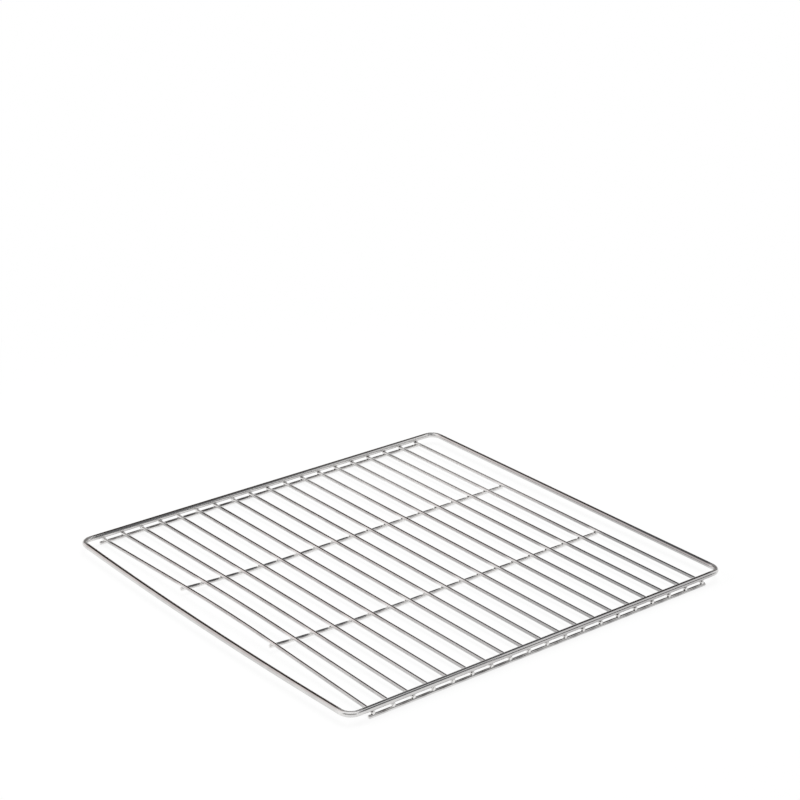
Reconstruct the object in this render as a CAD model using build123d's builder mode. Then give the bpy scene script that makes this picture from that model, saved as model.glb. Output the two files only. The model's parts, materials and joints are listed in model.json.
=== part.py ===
from build123d import *
from math import asin, cos, radians, tan
import os

# Smoker rack: thin wires welded crosswise into a mat, and the mat welded under a frame of thicker wire.
# Millimetres. X runs across the slats, Y along them with the front at -Y, and Z is up.
# The origin lies on the surface that the rack rests on, under the middle of its outline.

# Frame: one closed loop of wire
frame_width = 370.0      # outside to outside at the corners, across the slats
frame_depth = 356.0      # outside to outside, along the slats
frame_wire = 4.5         # wire diameter
corner_radius = 9.0      # corner bends, to the centre line of the wire
side_bow = 3.6           # the left side wire bulges outwards by this much at its middle

# Slats: the wires that carry the food
slat_count = 19
slat_wire = 2.8
slat_margin = 20.75      # frame's side wire to the nearest slat, centre to centre
slat_overhang = 1.5      # slat end past the centre line of the frame

# Cross wires: a pair under the slats
cross_wire = 2.8
cross_spacing = 117.0    # from one cross wire to the other
cross_set_back = 2.0     # the pair sits this far behind the middle of the rack
cross_overhang = 2.0     # wire end past the centre line of the outermost slat

# End rails: one under each row of slat ends
rail_wire = 2.8
rail_overhang = 3.5      # wire end past the centre line of the outermost slat

# Welding has sprung the mat up along its left edge
edge_rise = 5.64         # how far above the flat mat the two straight legs of the first slat would meet
rise_run = 106.0         # the rise dies away over this distance from the first slat

weld_gap = 0.03          # clearance between two wires that are welded together

# Wire radii
frame_r = frame_wire / 2
slat_r = slat_wire / 2
cross_r = cross_wire / 2
rail_r = rail_wire / 2

# Heights of the wires' centre lines: rails and cross wires lowest, then the slats, and the frame on top
slat_seat = max(cross_wire, rail_wire)
cross_z = slat_seat - cross_r
rail_z = slat_seat - rail_r
slat_z = slat_seat + weld_gap + slat_r
frame_z = slat_z + slat_r + weld_gap + frame_r

# Plan of the frame's centre line; the bow of the left side moves the four corners off the origin
right_x = (frame_width + side_bow) / 2 - frame_r
left_x = right_x - (frame_width - frame_wire)
rear_y = frame_depth / 2 - frame_r
front_y = -rear_y

# Places of the slats
first_slat_x = left_x + slat_margin
last_slat_x = right_x - slat_margin
slat_pitch = (last_slat_x - first_slat_x) / (slat_count - 1)
slat_places = [first_slat_x + slat_pitch * index for index in range(slat_count)]
rise_end_x = first_slat_x + rise_run


def rise_at(x):
    """Rise of the point where a slat's legs would meet: the square of the distance still left to rise_end_x."""
    return edge_rise * (max(0.0, rise_end_x - x) / rise_run) ** 2


os.makedirs("parts", exist_ok=True)

# Frame: a round section swept along a rounded rectangle with one bowed side
with BuildSketch(Plane.XY.offset(frame_z)) as frame_plan:
    with BuildLine():
        Polyline((left_x, rear_y), (right_x, rear_y), (right_x, front_y), (left_x, front_y))
        ThreePointArc((left_x, front_y), (left_x - side_bow, 0), (left_x, rear_y))
    make_face()
    fillet(frame_plan.vertices(), radius=corner_radius)

frame_path = frame_plan.sketch.face().outer_wire()
with BuildPart() as frame:
    with BuildSketch(Plane(origin=frame_path @ 0, z_dir=frame_path % 0)):
        Circle(frame_r)
    sweep(path=frame_path)
frame.part.label = "frame"
export_step(frame.part, "parts/frame.step")

# Slats: straight, or where the mat has sprung up two straight legs with a slight bend between the cross wires
for number, slat_x in enumerate(slat_places, start=1):
    meeting = Vector(slat_x, cross_set_back, slat_z + rise_at(slat_x))
    front_leg = Vector(slat_x, front_y, slat_z) - meeting
    rear_leg = Vector(slat_x, rear_y, slat_z) - meeting
    front_end = meeting + front_leg + front_leg.normalized() * slat_overhang
    rear_end = meeting + rear_leg + rear_leg.normalized() * slat_overhang
    with BuildLine() as slat_line:
        if slat_x < rise_end_x:
            turn = 180 - front_leg.get_angle(rear_leg)
            FilletPolyline(front_end, meeting, rear_end, radius=cross_spacing / 2 / tan(radians(turn / 2)))
        else:
            Line(front_end, rear_end)
    slat_path = slat_line.wire()
    with BuildPart() as slat:
        with BuildSketch(Plane(origin=slat_path @ 0, z_dir=slat_path % 0)):
            Circle(slat_r)
        sweep(path=slat_path)
    slat.part.label = f"slat_{number:02d}"
    export_step(slat.part, f"parts/{slat.part.label}.step")

# Cross wires: straight from the right, then a tangent arc that climbs with the slats to the wire's left end
cross_right_x = last_slat_x + cross_overhang
cross_left_x = first_slat_x - cross_overhang
for name, side in (("front", -1), ("rear", 1)):
    cross_y = cross_set_back + side * cross_spacing / 2
    leg_end_y = side * rear_y
    first_rise = edge_rise * (leg_end_y - cross_y) / (leg_end_y - cross_set_back)
    climb_radius = (rise_run**2 + first_rise**2) / (2 * first_rise)
    climb_angle = asin((rise_end_x - cross_left_x) / climb_radius)
    rise_end = Vector(rise_end_x, cross_y, cross_z)
    left_end = Vector(cross_left_x, cross_y, cross_z + climb_radius * (1 - cos(climb_angle)))
    with BuildLine() as cross_line:
        flat = Line((cross_right_x, cross_y, cross_z), rise_end)
        TangentArc(rise_end, left_end, tangent=flat % 1)
    cross_path = cross_line.wire()
    with BuildPart() as cross:
        with BuildSketch(Plane(origin=cross_path @ 0, z_dir=cross_path % 0)):
            Circle(cross_r)
        sweep(path=cross_path)
    cross.part.label = f"{name}_cross_wire"
    export_step(cross.part, f"parts/{cross.part.label}.step")

# End rails: straight wires below the frame's front and rear sides
rail_length = last_slat_x - first_slat_x + 2 * rail_overhang
for name, rail_y in (("front", front_y), ("rear", rear_y)):
    with BuildPart() as rail:
        with BuildSketch(Plane(origin=(first_slat_x - rail_overhang, rail_y, rail_z), z_dir=(1, 0, 0))):
            Circle(rail_r)
        extrude(amount=rail_length)
    rail.part.label = f"{name}_rail"
    export_step(rail.part, f"parts/{rail.part.label}.step")

print(f"slat pitch {slat_pitch:.2f}, top of the frame {frame_z + frame_r:.2f}")
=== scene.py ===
# %% [markdown]
# # A smoker rack in bright wire
#
# The rack is a shelf for food in a smoker. Thin wires lie side by side as slats, four more wires cross
# below them, and a thicker wire bent to a closed loop runs on top, round the edge. Everything is welded
# where it crosses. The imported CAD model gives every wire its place, so it is loaded first and nothing
# here moves it.

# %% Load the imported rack
import json
from math import asin, cos, pi, radians, sqrt, tan
from random import Random

import bmesh
import bpy
from mathutils import Matrix, Quaternion, Vector

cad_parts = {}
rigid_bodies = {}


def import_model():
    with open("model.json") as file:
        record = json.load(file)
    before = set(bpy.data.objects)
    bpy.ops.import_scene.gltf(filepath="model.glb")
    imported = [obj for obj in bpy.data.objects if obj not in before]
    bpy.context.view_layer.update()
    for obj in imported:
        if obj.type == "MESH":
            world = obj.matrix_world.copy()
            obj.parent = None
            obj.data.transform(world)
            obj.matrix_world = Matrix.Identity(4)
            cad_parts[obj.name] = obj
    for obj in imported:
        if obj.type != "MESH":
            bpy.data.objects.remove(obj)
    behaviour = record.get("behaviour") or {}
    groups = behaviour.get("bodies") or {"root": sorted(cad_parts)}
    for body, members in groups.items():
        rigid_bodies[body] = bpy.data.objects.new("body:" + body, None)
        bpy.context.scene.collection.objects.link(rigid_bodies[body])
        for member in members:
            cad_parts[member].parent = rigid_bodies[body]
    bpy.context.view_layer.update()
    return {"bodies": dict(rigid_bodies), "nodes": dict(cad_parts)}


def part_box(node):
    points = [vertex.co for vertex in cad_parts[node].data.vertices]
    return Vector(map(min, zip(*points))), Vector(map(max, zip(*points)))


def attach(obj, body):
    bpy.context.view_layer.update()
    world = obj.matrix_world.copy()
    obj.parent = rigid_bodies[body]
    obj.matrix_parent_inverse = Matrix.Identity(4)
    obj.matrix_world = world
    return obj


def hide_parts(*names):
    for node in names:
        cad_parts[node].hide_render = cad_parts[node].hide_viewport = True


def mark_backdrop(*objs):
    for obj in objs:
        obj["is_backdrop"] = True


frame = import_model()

# %% [markdown]
# ## Where the wires lie
#
# A learner could type every coordinate again, but two copies soon differ. The middle of a node's box is
# the centre line of a straight wire, so the places of slats, rails and cross wires are read from the
# frame. Only what a box can't say is named here: wire sizes, bends, and how far the mat has sprung up at
# its left edge.

# %% Sizes in metres and places from the frame
MM = 0.001
FRAME_RADIUS = 2.25 * MM
MAT_RADIUS = 1.4 * MM
CORNER_RADIUS = 9 * MM      # the frame's bends, to the centre line
SIDE_BOW = 3.6 * MM         # the frame's left side bulges outwards
SLAT_OVERHANG = 1.5 * MM    # slat end past the frame's centre line
CROSS_OVERHANG = 2 * MM     # cross wire end past the outermost slat
EDGE_RISE = 5.64 * MM       # where the first slat's two legs would meet, above the flat mat
RISE_RUN = 106 * MM         # the rise dies away over this distance


def middle(node):
    """The middle of a CAD node's box."""
    low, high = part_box(node)
    return (Vector(low) + Vector(high)) / 2


SLATS = sorted(name for name in frame["nodes"] if name.startswith("slat_"))
slat_x = {name: middle(name).x for name in SLATS}
first_x, last_x = slat_x[SLATS[0]], slat_x[SLATS[-1]]
pitch = (last_x - first_x) / (len(SLATS) - 1)
slat_z = middle(SLATS[-1]).z
frame_z = middle("frame").z
rail_z = middle("front_rail").z
end_y = {"front": middle("front_rail").y, "rear": middle("rear_rail").y}
cross_y = {"front": middle("front_cross_wire").y, "rear": middle("rear_cross_wire").y}
mat_middle_y = (cross_y["front"] + cross_y["rear"]) / 2
half_span = (cross_y["rear"] - cross_y["front"]) / 2
rise_end_x = first_x + RISE_RUN


def rise_at(x):
    """How far above the flat mat the legs of a slat at x would meet."""
    return EDGE_RISE * (max(0.0, rise_end_x - x) / RISE_RUN) ** 2


def leg_share(side):
    """The share of a slat's rise that is left where it passes over a cross wire."""
    return (end_y[side] - cross_y[side]) / (end_y[side] - mat_middle_y)


print(f"{len(SLATS)} slats, {pitch / MM:.2f} mm apart, the first one rises {rise_at(first_x) / MM:.2f} mm")

# %% [markdown]
# ## Pulling a wire
#
# Real wire is drawn through a round hole and then bent round pins. The same two moves make it here: a
# bare ring of edges is extruded for a straight stretch and spun for a bend. A curve with a bevel would be
# shorter to write, but with rings the script also knows how much wire has passed. That is kept as an
# attribute, the place of each point on the wire before it was bent, so that drawing lines in the finish
# can follow the wire round a corner.

# %% The wire puller
MERGE_DISTANCE = 0.01 * MM


class Wire:
    """A round wire, pulled from an open ring of edges through straights and bends."""

    def __init__(self, radius, sides, start, heading):
        self.bm = bmesh.new()
        self.unbent = self.bm.verts.layers.float_vector.new("unbent")
        self.place = Vector(start)
        self.heading = Vector(heading).normalized()
        self.length = 0.0
        turned = self.heading.to_track_quat("Z", "Y").to_matrix().to_4x4()
        flat_side_out = Matrix.Rotation(pi / sides, 4, "Z")
        bmesh.ops.create_circle(
            self.bm, radius=radius, segments=sides, matrix=Matrix.Translation(start) @ turned @ flat_side_out
        )
        for vert in self.bm.verts:
            vert[self.unbent] = turned.inverted() @ (vert.co - self.place)
        self.first_ring = self.bm.edges[:]
        self.ring = self.first_ring

    def take(self, made, distance):
        """Note the new open ring and how much wire has passed."""
        verts = {item for item in made if isinstance(item, bmesh.types.BMVert)}
        edges = [item for item in made if isinstance(item, bmesh.types.BMEdge)]
        self.ring = [edge for edge in edges if verts.issuperset(edge.verts)]
        self.length += distance
        for vert in verts:
            across = vert[self.unbent]
            vert[self.unbent] = (across.x, across.y, self.length)

    def straight(self, distance):
        made = bmesh.ops.extrude_edge_only(self.bm, edges=self.ring)["geom"]
        verts = [item for item in made if isinstance(item, bmesh.types.BMVert)]
        bmesh.ops.translate(self.bm, verts=verts, vec=self.heading * distance)
        self.place += self.heading * distance
        self.take(made, distance)

    def bend(self, centre, axis, angle, steps):
        turn = Quaternion(axis, angle / steps)
        arm = self.place - Vector(centre)
        for _ in range(steps):
            ring = self.ring + list({vert for edge in self.ring for vert in edge.verts})
            made = bmesh.ops.spin(self.bm, geom=ring, cent=centre, axis=axis, angle=angle / steps, steps=1)
            self.take(made["geom_last"], arm.length * abs(angle) / steps)
            arm.rotate(turn)
            self.heading.rotate(turn)
        self.place = Vector(centre) + arm

    def cut(self, rounding):
        """Close both ends and take the sharp edge off each cut."""
        rims = self.first_ring + self.ring
        bmesh.ops.edgeloop_fill(self.bm, edges=self.first_ring)
        bmesh.ops.edgeloop_fill(self.bm, edges=self.ring)
        bmesh.ops.bevel(
            self.bm, geom=rims, offset=rounding, offset_type="OFFSET",
            affect="EDGES", segments=3, profile=0.5, material=-1,
        )

    def join(self):
        """Weld the last ring to the first one."""
        bmesh.ops.remove_doubles(self.bm, verts=self.bm.verts[:], dist=MERGE_DISTANCE)


print("wire puller ready")

# %% From a bmesh to a piece of the rack
def hand_over(name, bm, slot, *nodes):
    """Make an object of a finished bmesh, on the rack's body and in place of its CAD wires."""
    bmesh.ops.recalc_face_normals(bm, faces=bm.faces[:])
    for face in bm.faces:
        face.smooth = True
    mesh = bpy.data.meshes.new(name)
    bm.to_mesh(mesh)
    bm.free()
    piece = bpy.data.objects.new(name, mesh)
    bpy.context.scene.collection.objects.link(piece)
    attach(piece, "root")
    if nodes:
        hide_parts(*nodes)
    return piece


print("pieces go on the body", ", ".join(frame["bodies"]))

# %% [markdown]
# ## The frame
#
# The frame is one length of thick wire with four tight bends, and its ends are butted together and
# welded. Its left side isn't quite straight: the finished rack bulges there by a few millimetres. The
# pull starts in the middle of the right side and goes once round. The bulge is a spin too, of a very
# large radius, and where it meets the two left corners they turn a little less than a quarter.

# %% One turn round the edge
FRAME_SIDES = 32
CORNER_STEPS = 14
BOW_STEPS = 12
SEAM = 1.5 * MM             # a short last stretch, because the unbent attribute starts again where it ends
right_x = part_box("frame")[1][0] - FRAME_RADIUS
left_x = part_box("frame")[0][0] + FRAME_RADIUS + SIDE_BOW
corner_y = end_y["rear"] - CORNER_RADIUS
bow_radius = (end_y["rear"] ** 2 + SIDE_BOW ** 2) / (2 * SIDE_BOW)
bow_x = left_x - SIDE_BOW + bow_radius
bow_half_angle = asin(corner_y / (bow_radius - CORNER_RADIUS))
left_corner_x = bow_x - (bow_radius - CORNER_RADIUS) * cos(bow_half_angle)
right_corner_x = right_x - CORNER_RADIUS
UP = Vector((0, 0, 1))

loop = Wire(FRAME_RADIUS, FRAME_SIDES, (right_x, 0, frame_z), (0, 1, 0))
loop.straight(corner_y)
loop.bend((right_corner_x, corner_y, frame_z), UP, pi / 2, CORNER_STEPS)
loop.straight(right_corner_x - left_corner_x)
loop.bend((left_corner_x, corner_y, frame_z), UP, pi / 2 - bow_half_angle, CORNER_STEPS)
loop.bend((bow_x, 0, frame_z), UP, 2 * bow_half_angle, BOW_STEPS)
loop.bend((left_corner_x, -corner_y, frame_z), UP, pi / 2 - bow_half_angle, CORNER_STEPS)
loop.straight(right_corner_x - left_corner_x)
loop.bend((right_corner_x, -corner_y, frame_z), UP, pi / 2, CORNER_STEPS)
loop.straight(corner_y - SEAM)
loop.straight(SEAM)
loop.join()
print(f"frame loop: {loop.length:.3f} m of wire, {len(loop.bm.faces)} faces")
frame_loop = hand_over("frame_loop", loop.bm, "frame_wire", "frame")

# %% [markdown]
# ## The slats
#
# Each slat is cut from straight wire. On the left the mat has sprung up as it was welded, so the first
# slats are two straight legs with a slight bend between the cross wires, and further right they lie flat.
# One loop makes all of them: where there is no rise the bend is left out. Sheared wire has no sharp rim,
# so the ends get a small rounding.

# %% Nineteen slats
MAT_SIDES = 24
ARCH_STEPS = 12
CUT_ROUNDING = 0.45 * MM
LEAST_TURN = radians(0.05)  # a slat that turns less is straight
ACROSS = Vector((1, 0, 0))
slat_pieces = []

for name, x in slat_x.items():
    meeting = Vector((x, mat_middle_y, slat_z + rise_at(x)))
    front_leg = meeting - Vector((x, end_y["front"], slat_z))
    rear_leg = Vector((x, end_y["rear"], slat_z)) - meeting
    heading = front_leg.normalized()
    turn = front_leg.angle(rear_leg)
    slat = Wire(MAT_RADIUS, MAT_SIDES, meeting - front_leg - heading * SLAT_OVERHANG, heading)
    if turn > LEAST_TURN:
        bend_radius = half_span / tan(turn / 2)
        slat.straight(front_leg.length + SLAT_OVERHANG - half_span)
        slat.bend(slat.place + heading.cross(ACROSS) * bend_radius, ACROSS, -turn, ARCH_STEPS)
        slat.straight(rear_leg.length + SLAT_OVERHANG - half_span)
    else:
        slat.straight(front_leg.length + rear_leg.length + 2 * SLAT_OVERHANG)
    slat.cut(CUT_ROUNDING)
    slat_pieces.append(hand_over(f"{name}_wire", slat.bm, "mat_wire", name))

print(len(slat_pieces), "slats, the last one", len(slat_pieces[-1].data.polygons), "faces")

# %% [markdown]
# ## Cross wires and rails
#
# Two cross wires under the slats keep them at their distance, and two rails hold the slat ends from
# below. The rails are plain straight wires. The cross wires start straight on the right and then follow
# the sprung mat upwards on one wide bend, which is a spin round an axis along the slats.

# %% Four wires below the slats
ALONG = Vector((0, 1, 0))

cross_pieces = []
for side, y in cross_y.items():
    rise = EDGE_RISE * leg_share(side)
    bend_radius = (RISE_RUN ** 2 + rise ** 2) / (2 * rise)
    start = Vector((last_x + CROSS_OVERHANG, y, rail_z))
    cross = Wire(MAT_RADIUS, MAT_SIDES, start, -ACROSS)
    cross.straight(start.x - rise_end_x)
    climb_angle = asin((RISE_RUN + CROSS_OVERHANG) / bend_radius)
    cross.bend((rise_end_x, y, rail_z + bend_radius), ALONG, climb_angle, ARCH_STEPS)
    cross.cut(CUT_ROUNDING)
    cross_pieces.append(hand_over(f"{side}_cross", cross.bm, "mat_wire", f"{side}_cross_wire"))

rail_pieces = []
for side, y in end_y.items():
    low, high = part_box(f"{side}_rail")
    rail = Wire(MAT_RADIUS, MAT_SIDES, (low[0], y, rail_z), ACROSS)
    rail.straight(high[0] - low[0])
    rail.cut(CUT_ROUNDING)
    rail_pieces.append(hand_over(f"{side}_end_rail", rail.bm, "mat_wire", f"{side}_rail"))

print(len(cross_pieces), "cross wires and", len(rail_pieces), "rails")

# %% [markdown]
# ## The welds
#
# At each crossing the two wires were pressed together and a current melted the spot between them. What
# shows is a small web of metal in the corner between the wires. A ball pushed in there would bulge. Here
# a ring is extruded upwards a few times and its points are moved between the surfaces of the two wires,
# so it hugs both. The metal runs further along each wire than across it, so the lower end is drawn out
# along the lower wire and the upper end along the upper one. No two welds are the same, so a seeded
# random number changes their size a bit.

# %% A bead that hugs two crossing wires
BEAD_SIDES = 16
BEAD_RINGS = 4              # rings above the first one
BEAD_FLARE = 0.6            # how much further the metal runs along a wire than across it
BEAD_SINK = 0.12 * MM       # how deep the ends go into the wires
ROUND_SHARE = 0.97          # how far out on a round wire a bead may reach, as a share of the wire's radius
LEAST_STRETCH = 0.92        # a weld's length and width vary between these two
MOST_STRETCH = 1.12
END_REACH = SLAT_OVERHANG - CUT_ROUNDING
weld_dice = Random(19)


def hollow(radius, offset):
    """How far a round surface has curved away at this offset from its nearest line."""
    return radius - sqrt(radius ** 2 - min(abs(offset), ROUND_SHARE * radius) ** 2)


def add_bead(bm, contact, upper_radius, lower_radius, upper_runs_across, waist, outward=0):
    """Add one weld where two wires touch.

    outward is the side on which the slat soon ends: -1 in front, 1 at the rear, 0 on neither.
    """
    verts = bmesh.ops.create_circle(bm, radius=waist, segments=BEAD_SIDES)["verts"]
    first_ring = ring = list({edge for vert in verts for edge in vert.link_edges})
    for _ in range(BEAD_RINGS):
        made = bmesh.ops.extrude_edge_only(bm, edges=ring)["geom"]
        lifted = {item for item in made if isinstance(item, bmesh.types.BMVert)}
        edges = [item for item in made if isinstance(item, bmesh.types.BMEdge)]
        ring = [edge for edge in edges if lifted.issuperset(edge.verts)]
        bmesh.ops.translate(bm, verts=list(lifted), vec=UP / BEAD_RINGS)
        verts.extend(lifted)
    for end in (first_ring, ring):
        bmesh.ops.edgeloop_fill(bm, edges=end)
    longer, wider = (weld_dice.uniform(LEAST_STRETCH, MOST_STRETCH) for _ in range(2))
    for vert in verts:
        share = vert.co.z
        along_upper = longer * (1 + BEAD_FLARE * share ** 2)
        along_lower = wider * (1 + BEAD_FLARE * (1 - share) ** 2)
        x = vert.co.x * (along_upper if upper_runs_across else along_lower)
        y = vert.co.y * (along_lower if upper_runs_across else along_upper)
        if y * outward > END_REACH:
            y = END_REACH * outward
        upper = hollow(upper_radius, y if upper_runs_across else x) + BEAD_SINK
        lower = -hollow(lower_radius, x if upper_runs_across else y) - BEAD_SINK
        vert.co = contact + Vector((x, y, lower + (upper - lower) * share))


print("a bead has", BEAD_SIDES * BEAD_RINGS + 2, "faces")

# %% Welds at the frame, the rails and the cross wires
FRAME_WAIST = 1.34 * MM
MAT_WAIST = 0.95 * MM
frame_seat_z = (slat_z + MAT_RADIUS + frame_z - FRAME_RADIUS) / 2
mat_seat_z = (rail_z + slat_z) / 2

frame_welds, rail_welds, cross_welds = bmesh.new(), bmesh.new(), bmesh.new()
for x in slat_x.values():
    for side, outward in (("front", -1), ("rear", 1)):
        frame_seat = Vector((x, end_y[side], frame_seat_z))
        rail_seat = Vector((x, end_y[side], mat_seat_z))
        add_bead(frame_welds, frame_seat, FRAME_RADIUS, MAT_RADIUS, True, FRAME_WAIST, outward)
        add_bead(rail_welds, rail_seat, MAT_RADIUS, MAT_RADIUS, False, MAT_WAIST, outward)
        lifted = mat_seat_z + rise_at(x) * leg_share(side)
        add_bead(cross_welds, Vector((x, cross_y[side], lifted)), MAT_RADIUS, MAT_RADIUS, False, MAT_WAIST)

weld_pieces = [
    hand_over("frame_welds", frame_welds, "mat_wire"),
    hand_over("rail_welds", rail_welds, "mat_wire"),
    hand_over("cross_welds", cross_welds, "mat_wire"),
]
print("welds:", [len(piece.data.polygons) for piece in weld_pieces], "faces")

# %% [markdown]
# ## Shader arithmetic
#
# A finish is easier to read as a formula than as a long list of links. This small class holds one socket
# of a node tree. Adding or multiplying two of them adds a Math node and gives back its output, and every
# other kind of node comes from one method, which sets the node's settings first and then its sockets.

# %% Sockets that can be added and multiplied
class Field:
    """A socket in a node tree that takes part in Python arithmetic."""

    def __init__(self, tree, socket=None):
        self.tree = tree
        self.socket = socket

    def node(self, kind, settings=None, inputs=None, output=0):
        made = self.tree.nodes.new(kind)
        for name, value in (settings or {}).items():
            setattr(made, name, value)
        for name, value in (inputs or {}).items():
            if isinstance(value, Field):
                self.tree.links.new(value.socket, made.inputs[name])
            else:
                made.inputs[name].default_value = value
        return Field(self.tree, made.outputs[output] if made.outputs else None)

    def math(self, operation, *values):
        return self.node("ShaderNodeMath", {"operation": operation}, dict(enumerate(values)))

    def __add__(self, other):
        return self.math("ADD", self, other)

    def __sub__(self, other):
        return self.math("SUBTRACT", self, other)

    def __rsub__(self, other):
        return self.math("SUBTRACT", other, self)

    def __mul__(self, other):
        return self.math("MULTIPLY", self, other)

    __radd__ = __add__
    __rmul__ = __mul__

    def larger(self, other):
        return self.math("MAXIMUM", self, other)

    def axis(self, name):
        """One coordinate of a vector."""
        return self.node("ShaderNodeSeparateXYZ", inputs={0: self}, output=name)

    def noise(self, scale, detail):
        """Noise from 0 to 1 at the places that this vector gives."""
        return self.node("ShaderNodeTexNoise", inputs={"Vector": self, "Scale": scale, "Detail": detail})

    def diagonal(self, other):
        """The straight distance, where this distance and the other one are at right angles."""
        return self.math("SQRT", self * self + other * other)

    def nearest(self, *places):
        """The distance to the nearest of several places."""
        distances = [self.math("ABSOLUTE", self - place) for place in places]
        least = distances[0]
        for distance in distances[1:]:
            least = self.math("MINIMUM", least, distance)
        return least

    def fade(self, start, end):
        """1 at start and on its far side, then smoothly down to 0 at end, whichever is larger."""
        settings = {"interpolation_type": "SMOOTHSTEP"}
        ends = {"Value": self, "From Min": start, "From Max": end, "To Min": 1.0, "To Max": 0.0}
        return self.node("ShaderNodeMapRange", settings, ends)

    def blend(self, colour, other):
        """colour where this is 0 and other where it is 1."""
        return self.node("ShaderNodeMix", {"data_type": "RGBA"}, {0: self, 6: colour, 7: other}, output=2)


def new_finish(name):
    """An empty material and the field that its nodes grow from."""
    material = bpy.data.materials.new(name)
    material.use_nodes = True
    material.node_tree.nodes.clear()
    return material, Field(material.node_tree)


print("shader helper ready")

# %% [markdown]
# ## Marks on the wire
#
# The wire is bright plated steel, a metal with hardly any colour of its own, a touch warmer than neutral.
# Left even, it would look like a mirror, so the finish is built up from marks, some of which the real rack
# has and some of which are painted light and shade. A mark is a number from 0 to 1 that depends on the
# place, and each one here is a small function. Round each weld the wire is painted lighter as a highlight.
# The welds lie on a regular grid, so the distance to the nearest one is a formula of x and y. Bending has
# scuffed the frame's corners, and they are painted lighter as a highlight too. The upper side of the lower
# wires is painted dark as a reflection of dark surroundings. Use has roughened the rack towards its front
# right corner, and there its colour is a painted tone of the light it mirrors, and at the rear right the
# plating has a pale bloom.

# %% Where the wire is marked
WELD_NEAR = 1.2 * MM        # the painted highlight is strongest up to here
WELD_FAR = 11 * MM          # and ends here
SCUFF_NEAR = 8 * MM         # the bends are scuffed and painted lighter this far from the frame's corners
SCUFF_FAR = 14 * MM
WEAR_FROM = -60 * MM        # up to here the wire has its rear left colour and roughness
WEAR_TO = 270 * MM
BLOOM_FROM = 90 * MM
BLOOM_TO = 230 * MM


def beside_slat(x):
    """How far to the right of the nearest slat's centre line a point lies."""
    return (x.math("FRACT", (x - first_x) * (1 / pitch) + 0.5) - 0.5) * pitch


def crossing_highlight(x, y):
    """1 at a crossing of the mat, where the wire is painted lighter as a highlight, and 0 a few millimetres
    away from it.
    """
    beside_cross = y.nearest(*end_y.values(), *cross_y.values())
    return beside_slat(x).diagonal(beside_cross).fade(WELD_NEAR, WELD_FAR)


def bend_scuff_and_highlight(x, y):
    """1 on the frame's bends, which are rougher and partly painted lighter as a highlight."""
    return x.nearest(left_x, right_x).diagonal(y.nearest(*end_y.values())).fade(SCUFF_NEAR, SCUFF_FAR)


def upper_side(unbent):
    """1 on the upper side of a wire of the mat."""
    return 1 - unbent.axis("Y").fade(0, MAT_RADIUS / 2)


def wear_and_painted_tone(x, y):
    """Grows from 0 to 1 towards the front right corner, where the wire is rougher from wear and its colour
    is a painted tone.
    """
    return 1 - (x - y).fade(WEAR_FROM, WEAR_TO)


def pale_bloom(x, y):
    """Grows from 0 to 1 towards the rear right corner."""
    return 1 - (x + y).fade(BLOOM_FROM, BLOOM_TO)


print("marks of heat, bending, smoke and wear ready")

# %% [markdown]
# ## Bright drawn wire
#
# Two more marks are patterns. Drawing leaves very fine lines along the wire, which the unbent attribute
# lets follow every bend, and handling leaves cloudy patches that are slightly duller. All marks then
# blend the colour one after the other: the front right tone first, then the painted dark top, the
# painted highlight round the crossings, and the bloom together with the painted highlight on the bends.
# Four node trees drawn by hand could do the same but would soon drift apart, so one function with a
# strength for each mark serves all wires.

# %% One finish with a strength for each mark
LINE_SCALE = 6500.0         # about 0.15 mm from one drawing line to the next
LINE_STRETCH = 0.008        # and about 20 mm long
LINE_DEPTH = 0.01 * MM
LINE_BUMP = 0.12
LINE_ROUGHNESS = 0.05
CLOUD_SCALE = 70.0          # patches of about 15 mm
CLOUDY, CLEAR = 0.62, 0.38  # the noise levels of a full patch and of none
PATCH_WEAR = 0.4            # a patch takes on this much of the front right colour
PATCH_ROUGHNESS = 0.05
SCUFF_ROUGHNESS = 0.2
SCUFF_CLOUDING = 0.4        # how much of the metallic look goes
BLOOM_CLOUDING = 0.6
WHITENED = (0.90, 0.89, 0.88, 1)
PALE = (0.86, 0.85, 0.84, 1)
PAINTED_DARK_TOP = (0.09, 0.08, 0.077, 1)


def drawing_lines(unbent):
    """Fine noise, drawn out along the wire."""
    squeeze = (1.0, 1.0, LINE_STRETCH)
    stretched = unbent.node("ShaderNodeVectorMath", {"operation": "MULTIPLY"}, {0: unbent, 1: squeeze})
    return stretched.noise(LINE_SCALE, detail=2.0)


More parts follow.
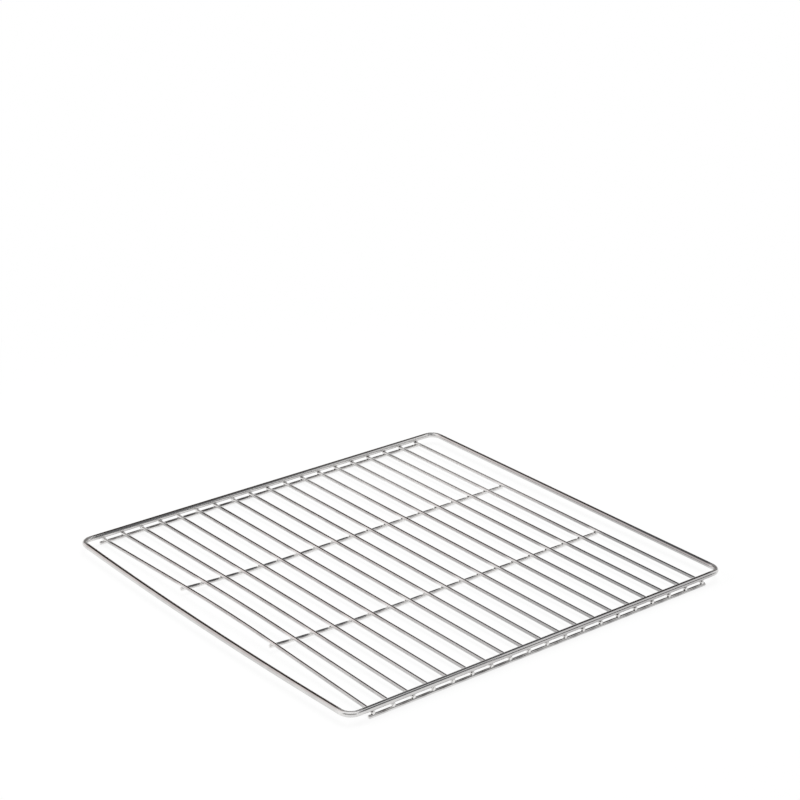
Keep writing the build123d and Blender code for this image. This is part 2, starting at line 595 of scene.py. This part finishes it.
def wire_finish(
    name, rear_left_steel, front_right_steel, polish, roughening, bloom, highlight_at_crossings=0.0, dark_top=(0.0, 0.0), scuff_and_highlight=0.0
):
    """Bright wire with these strengths of its marks; dark_top, a painted reflection, has one for the rear
    left and one for the front right.
    """
    material, field = new_finish(name)
    place = field.node("ShaderNodeTexCoord", output="Object")
    unbent = field.node("ShaderNodeAttribute", {"attribute_name": "unbent"}, output="Vector")
    x, y = place.axis("X"), place.axis("Y")
    lines = drawing_lines(unbent)
    patches = place.noise(CLOUD_SCALE, detail=4.0).fade(CLOUDY, CLEAR)
    worn_and_toned = wear_and_painted_tone(x, y)
    # painted reflection: the upper side of a lower wire is painted dark, as the dark surroundings it would
    # mirror
    dark_top_share = upper_side(unbent) * (dark_top[0] + worn_and_toned * (dark_top[1] - dark_top[0]))
    scuffed_and_highlit = bend_scuff_and_highlight(x, y) * scuff_and_highlight
    pale = pale_bloom(x, y) * bloom

    # painted shade: towards the front right the colour is painted darker, on the cross wires lighter, for
    # the light mirrored there
    colour = worn_and_toned.larger(patches * PATCH_WEAR).blend(rear_left_steel, front_right_steel)
    colour = dark_top_share.blend(colour, PAINTED_DARK_TOP)
    # painted highlight: the wire round each crossing is painted nearly white
    colour = (crossing_highlight(x, y) * highlight_at_crossings).blend(colour, WHITENED)
    # painted highlight on the bends, blended with the real pale bloom at the rear right
    colour = pale.larger(scuffed_and_highlit).blend(colour, PALE)
    roughness = polish + lines * LINE_ROUGHNESS + patches * PATCH_ROUGHNESS
    roughness = roughness + scuffed_and_highlit * SCUFF_ROUGHNESS + worn_and_toned * roughening
    clouding = (pale * BLOOM_CLOUDING).larger(scuffed_and_highlit * SCUFF_CLOUDING)
    relief = {"Height": lines, "Strength": LINE_BUMP, "Distance": LINE_DEPTH}
    metal = field.node("ShaderNodeBsdfPrincipled", inputs={
        "Base Color": colour,
        "Metallic": 1 - clouding,
        "Roughness": roughness,
        "Normal": field.node("ShaderNodeBump", inputs=relief, output="Normal"),
    })
    field.node("ShaderNodeOutputMaterial", inputs={"Surface": metal})
    return material


print("wire finish ready")

# %% [markdown]
# ## Four kinds of wire
#
# The wires look alike at first, but not when seen close up. The frame is the cleanest, and it alone has
# bends to scuff, which are also painted lighter as a highlight. The slats are worn most. The cross wires
# and rails lie below, and their upper sides are painted dark as a reflection of dark surroundings, the
# rails' more on the left and the cross wires' evenly. Towards the front right most wires are painted
# darker as shade in their reflections, while the cross wires are painted darker at the rear left and
# lighter towards the front right.

# %% The finishes of frame, slats, cross wires and rails
frame_finish = wire_finish(
    "bright_frame_wire", rear_left_steel=(0.68, 0.67, 0.66, 1), front_right_steel=(0.49, 0.48, 0.48, 1),
    polish=0.04, roughening=0.03, bloom=0.06, scuff_and_highlight=0.5,
)
slat_finish = wire_finish(
    "bright_slat_wire", rear_left_steel=(0.64, 0.63, 0.625, 1), front_right_steel=(0.42, 0.415, 0.415, 1),
    polish=0.045, roughening=0.12, bloom=0.4, highlight_at_crossings=0.8,
)
cross_finish = wire_finish(
    "bright_cross_wire", rear_left_steel=(0.54, 0.53, 0.525, 1), front_right_steel=(0.72, 0.71, 0.70, 1),
    polish=0.045, roughening=0.04, bloom=0.1, highlight_at_crossings=0.8, dark_top=(0.35, 0.35),
)
rail_finish = wire_finish(
    "rail_wire_with_dark_top", rear_left_steel=(0.84, 0.83, 0.82, 1), front_right_steel=(0.38, 0.375, 0.375, 1),
    polish=0.045, roughening=0.08, bloom=0.1, highlight_at_crossings=0.4, dark_top=(0.85, 0.3),
)
for finish, pieces in (
    (frame_finish, [frame_loop]),
    (slat_finish, slat_pieces),
    (cross_finish, cross_pieces),
    (rail_finish, rail_pieces),
):
    for piece in pieces:
        piece.data.materials.append(finish)
    print(finish.name, "on", len(pieces), "pieces")

# %% [markdown]
# ## Weld metal
#
# Melted and frozen metal is a little rougher and whiter than drawn wire, with a fine grain, and its
# whiteness here is partly a painted highlight for the light that the round welds catch. There are no
# drawing lines on it, so its pattern is plain noise in the rack's own coordinates. The left edge of some
# welds is painted dark as a painted shadow, and on the right side of the rack of all of them. How far a
# point lies to the left of its slat says where that edge is.

# %% The finish of the welds
GRAIN_SCALE = 2600.0        # grains of about 0.4 mm
GRAIN_DEPTH = 0.05 * MM
GRAIN_BUMP = 0.3
WHITER, LESS_WHITE = 0.35, 0.7  # the noise levels of the lightest and the darkest grain
LEFT_SHADOW_FROM = -1.1 * MM       # left of the slat's centre line
LEFT_SHADOW_TO = -0.1 * MM
SHADOWED_FROM = -60 * MM         # from here to the right, more and more welds get the painted shadow
SHADOWED_TO = 60 * MM
ALL_SHADOWED, NONE_SHADOWED = 0.7, 0.35   # the noise levels at which a weld on the left gets the painted shadow or doesn't
WHITE_METAL = (0.86, 0.855, 0.85, 1)
WHITER_METAL = (0.94, 0.935, 0.93, 1)
PAINTED_WELD_SHADOW = (0.05, 0.045, 0.043, 1)
WELD_METALLIC = 0.5
WELD_ROUGHNESS = 0.2
GRAIN_ROUGHNESS = 0.12

weld_finish, weld = new_finish("frozen_weld_metal")
weld_place = weld.node("ShaderNodeTexCoord", output="Object")
weld_x = weld_place.axis("X")
grain = weld_place.noise(GRAIN_SCALE, detail=3.0)
grain_tone = grain.fade(WHITER, LESS_WHITE)
grain_relief = {"Height": grain, "Strength": GRAIN_BUMP, "Distance": GRAIN_DEPTH}
# partly painted highlight: the weld metal is painted nearly white for the light that the round welds catch
white_metal = grain_tone.blend(WHITE_METAL, WHITER_METAL)
some_shadowed = weld_place.noise(CLOUD_SCALE, detail=0.0).fade(ALL_SHADOWED, NONE_SHADOWED)
shadowed_welds = some_shadowed.larger(1 - weld_x.fade(SHADOWED_FROM, SHADOWED_TO))
# painted shadow: the left edge of each shadowed weld is painted near black, where it would lie in shade
painted_left_shadow = beside_slat(weld_x).fade(LEFT_SHADOW_FROM, LEFT_SHADOW_TO) * shadowed_welds
weld_metal = weld.node("ShaderNodeBsdfPrincipled", inputs={
    "Base Color": painted_left_shadow.blend(white_metal, PAINTED_WELD_SHADOW),
    "Metallic": WELD_METALLIC,
    "Roughness": WELD_ROUGHNESS + grain_tone * GRAIN_ROUGHNESS,
    "Normal": weld.node("ShaderNodeBump", inputs=grain_relief, output="Normal"),
})
weld.node("ShaderNodeOutputMaterial", inputs={"Surface": weld_metal})
for piece in weld_pieces:
    piece.data.materials.append(weld_finish)
print(weld_finish.name, "on", len(weld_pieces), "pieces")

# %% [markdown]
# ## The camera
#
# A long lens looks down at the front left corner. The bearing is counted from the slats' direction, and
# the small roll is the tilt of a camera held by hand.

# %% A camera at the photograph's angle
CAMERA_PLACE = (-0.9671, -1.20459, 0.75828)
VIEW_BEARING = radians(38.871)
VIEW_DIP = radians(21.784)
VIEW_ROLL = radians(0.354)
LENS = 97.61                # millimetres
SENSOR = 36.0

camera_data = bpy.data.cameras.new("camera")
camera_data.lens = LENS
camera_data.sensor_width = SENSOR
camera = bpy.data.objects.new("camera", camera_data)
camera.matrix_world = (
    Matrix.Translation(CAMERA_PLACE)
    @ Matrix.Rotation(-VIEW_BEARING, 4, "Z")
    @ Matrix.Rotation(pi / 2 - VIEW_DIP, 4, "X")
    @ Matrix.Rotation(VIEW_ROLL, 4, "Z")
)
bpy.context.scene.collection.objects.link(camera)
bpy.context.scene.camera = camera
bpy.context.scene.view_settings.view_transform = "Standard"
print("camera looks along", camera.matrix_world.to_3x3() @ Vector((0, 0, -1)))

# %% [markdown]
# ## Floor and white surroundings
#
# A rack like this is photographed on a white table in a white tent. The floor is white paint mixed with a
# plain white glow for the rays that come from the camera or from a mirror, so it looks evenly white and
# still takes a soft shadow. The world does the same: white to the camera and in reflections, and a calm
# grey light for everything else.

# %% White paint that glows where it is seen
WHITE = (1, 1, 1, 1)
FLOOR_PAINT = (0.9, 0.9, 0.9, 1)
FLOOR_GLOW = 0.88           # near the rack, where the floor still takes a shadow
SHADOW_REACH = 0.32         # from here on the floor is evenly white
FLOOR_SIZE = 8.0
MIRRORED_GLOW = 0.75        # a mirror shows more of the floor's own shading
WORLD_LIGHT = 0.55


def seen_or_mirrored(field, mirrored=1.0):
    """1 for rays from the camera or through glass, and this share for rays from a mirror."""
    from_camera = field.node("ShaderNodeLightPath", output="Is Camera Ray")
    through_glass = field.node("ShaderNodeLightPath", output="Is Transmission Ray")
    from_mirror = field.node("ShaderNodeLightPath", output="Is Glossy Ray")
    return from_camera.larger(through_glass).larger(from_mirror * mirrored)


floor_finish, paint = new_finish("white_table")
painted = paint.node("ShaderNodeBsdfDiffuse", inputs={"Color": FLOOR_PAINT})
glowing = paint.node("ShaderNodeEmission", inputs={"Color": WHITE, "Strength": 1.0})
floor_place = paint.node("ShaderNodeTexCoord", output="Object")
from_rack = paint.node("ShaderNodeVectorMath", {"operation": "LENGTH"}, {0: floor_place}, output="Value")
glow = 1 - (1 - FLOOR_GLOW) * from_rack.fade(SHADOW_REACH, 2 * SHADOW_REACH)
glow_share = seen_or_mirrored(paint, MIRRORED_GLOW) * glow
table = paint.node("ShaderNodeMixShader", inputs={0: glow_share, 1: painted, 2: glowing})
paint.node("ShaderNodeOutputMaterial", inputs={"Surface": table})
print("floor paint glows from", FLOOR_GLOW, "near the rack to 1 around it")

# %% The table and the tent
floor_bm = bmesh.new()
bmesh.ops.create_grid(floor_bm, x_segments=1, y_segments=1, size=FLOOR_SIZE / 2)
floor_mesh = bpy.data.meshes.new("floor")
floor_bm.to_mesh(floor_mesh)
floor_bm.free()
floor_mesh.materials.append(floor_finish)
floor = bpy.data.objects.new("floor", floor_mesh)
bpy.context.scene.collection.objects.link(floor)

world = bpy.data.worlds.new("white_tent")
bpy.context.scene.world = world
world.use_nodes = True
world.node_tree.nodes.clear()
tent = Field(world.node_tree)
calm = tent.node("ShaderNodeBackground", inputs={"Color": WHITE, "Strength": WORLD_LIGHT})
white = tent.node("ShaderNodeBackground", inputs={"Color": WHITE, "Strength": 1.0})
lit = tent.node("ShaderNodeMixShader", inputs={0: seen_or_mirrored(tent), 1: calm, 2: white})
tent.node("ShaderNodeOutputWorld", inputs={"Surface": lit})
print("floor", FLOOR_SIZE, "m wide")

# %% [markdown]
# ## Black cards
#
# In an evenly white tent a bright wire vanishes. Photographers set up black cards round it, and the dark
# line that each card draws along a wire gives it its roundness. The far cards are strips of a drum, made
# by spinning one upright edge round the rack, and one of them is a warm pale one, which tints the wires
# from the left. The near cards are flat sheets. Two hang above the rack and one stands low in front,
# where they draw the double dark line along the frame's front side. All of them show only in reflections,
# so they cast no shadow and stay out of the picture.

# %% Ways to set up a card
CARD_DISTANCE = 2.4
CARD_STEPS = 12


def set_up_card(name, bm, tone):
    """Make a card of this tone from a finished sheet, seen only in reflections."""
    material, field = new_finish(f"{name}_tone")
    surface = field.node("ShaderNodeEmission", inputs={"Color": (*tone, 1), "Strength": 1.0})
    field.node("ShaderNodeOutputMaterial", inputs={"Surface": surface})
    mesh = bpy.data.meshes.new(name)
    bm.to_mesh(mesh)
    bm.free()
    mesh.materials.append(material)
    card = bpy.data.objects.new(name, mesh)
    card.visible_camera = card.visible_diffuse = card.visible_shadow = False
    bpy.context.scene.collection.objects.link(card)
    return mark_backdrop(card)


def stand_card(name, bearings, heights, tone):
    """A strip of a drum, in degrees: bearings from the rear towards the right, heights above the floor."""
    bm = bmesh.new()
    start = Matrix.Rotation(-radians(bearings[0]), 3, "Z") @ Vector((0, CARD_DISTANCE, 0))
    foot, head = (bm.verts.new(start + UP * CARD_DISTANCE * tan(radians(height))) for height in heights)
    edge = bm.edges.new((foot, head))
    bmesh.ops.spin(
        bm, geom=[foot, head, edge], cent=(0, 0, 0), axis=UP,
        angle=-radians(bearings[1] - bearings[0]), steps=CARD_STEPS,
    )
    return set_up_card(name, bm, tone)


def hang_card(name, corners, tone):
    """A flat card between these corners."""
    bm = bmesh.new()
    bm.faces.new([bm.verts.new(corner) for corner in corners])
    return set_up_card(name, bm, tone)


print("cards can stand on a drum or hang flat")

# %% Cards that the wires mirror
BROWN_BLACK = (0.055, 0.045, 0.04)
WARM_WHITE = (0.88, 0.82, 0.815)
WARM_GREY = (0.2, 0.195, 0.19)
COOL_GREY = (0.17, 0.173, 0.18)
COOL_BLACK = (0.15, 0.153, 0.16)
NEAR_BLACK = (0.03, 0.03, 0.03)
CEILING_Z = 0.8
CEILING_OUTLINE = [(0.25, -0.5), (0.55, -0.5), (0.585, -0.65), (0.91, -1.26), (1.55, -2.4), (0.25, -2.4)]
SHELF_Z = 0.3
SHELF_OUTLINE = [
    (0.0, 0.2), (0.45, 0.2), (0.39, 0.125), (0.34, 0.07), (0.285, 0.01),
    (0.24, -0.07), (0.45, -0.09), (0.45, -0.2), (0.0, -0.2),
]
LOW_Y = -0.6
LOW_OUTLINE = [(0.25, 0.0), (1.0, 0.0), (1.0, 0.19), (0.25, 0.19)]

cards = [
    stand_card("rear_card", bearings=(-15, 94), heights=(10, 66), tone=BROWN_BLACK),
    stand_card("left_card", bearings=(-50, -15), heights=(3, 66), tone=WARM_WHITE),
    stand_card("front_card", bearings=(180, 270), heights=(2, 38), tone=WARM_GREY),
    hang_card("ceiling_card", [(x, y, CEILING_Z) for x, y in CEILING_OUTLINE], COOL_GREY),
    hang_card("shelf_card", [(x, y, SHELF_Z) for x, y in SHELF_OUTLINE], COOL_BLACK),
    hang_card("low_card", [(x, LOW_Y, z) for x, z in LOW_OUTLINE], NEAR_BLACK),
]
print(len(cards), "cards, the far ones", CARD_DISTANCE, "m from the rack")

# %% [markdown]
# ## Soft lamps
#
# Two large soft lamps from above give the floor its even light and the rack a faint shadow. A real
# softbox would also show as a white patch in the wires. The tent is white already, so the lamps are
# hidden from reflections, and only the cards draw on the wires.

# %% Two soft lamps
LAMPS = {
    "overhead_softbox": {"place": (0.35, 0.1, 1.9), "size": 1.4, "power": 22.0},
    "left_softbox": {"place": (-1.5, 0.9, 1.3), "size": 1.1, "power": 14.0},
}
for name, lamp in LAMPS.items():
    light = bpy.data.lights.new(name, "AREA")
    light.shape = "SQUARE"
    light.size = lamp["size"]
    light.energy = lamp["power"]
    softbox = bpy.data.objects.new(name, light)
    softbox.location = lamp["place"]
    softbox.visible_glossy = False
    softbox.rotation_euler = (-Vector(lamp["place"])).to_track_quat("-Z", "Y").to_euler()
    bpy.context.scene.collection.objects.link(softbox)
    print(name, lamp["power"], "W")
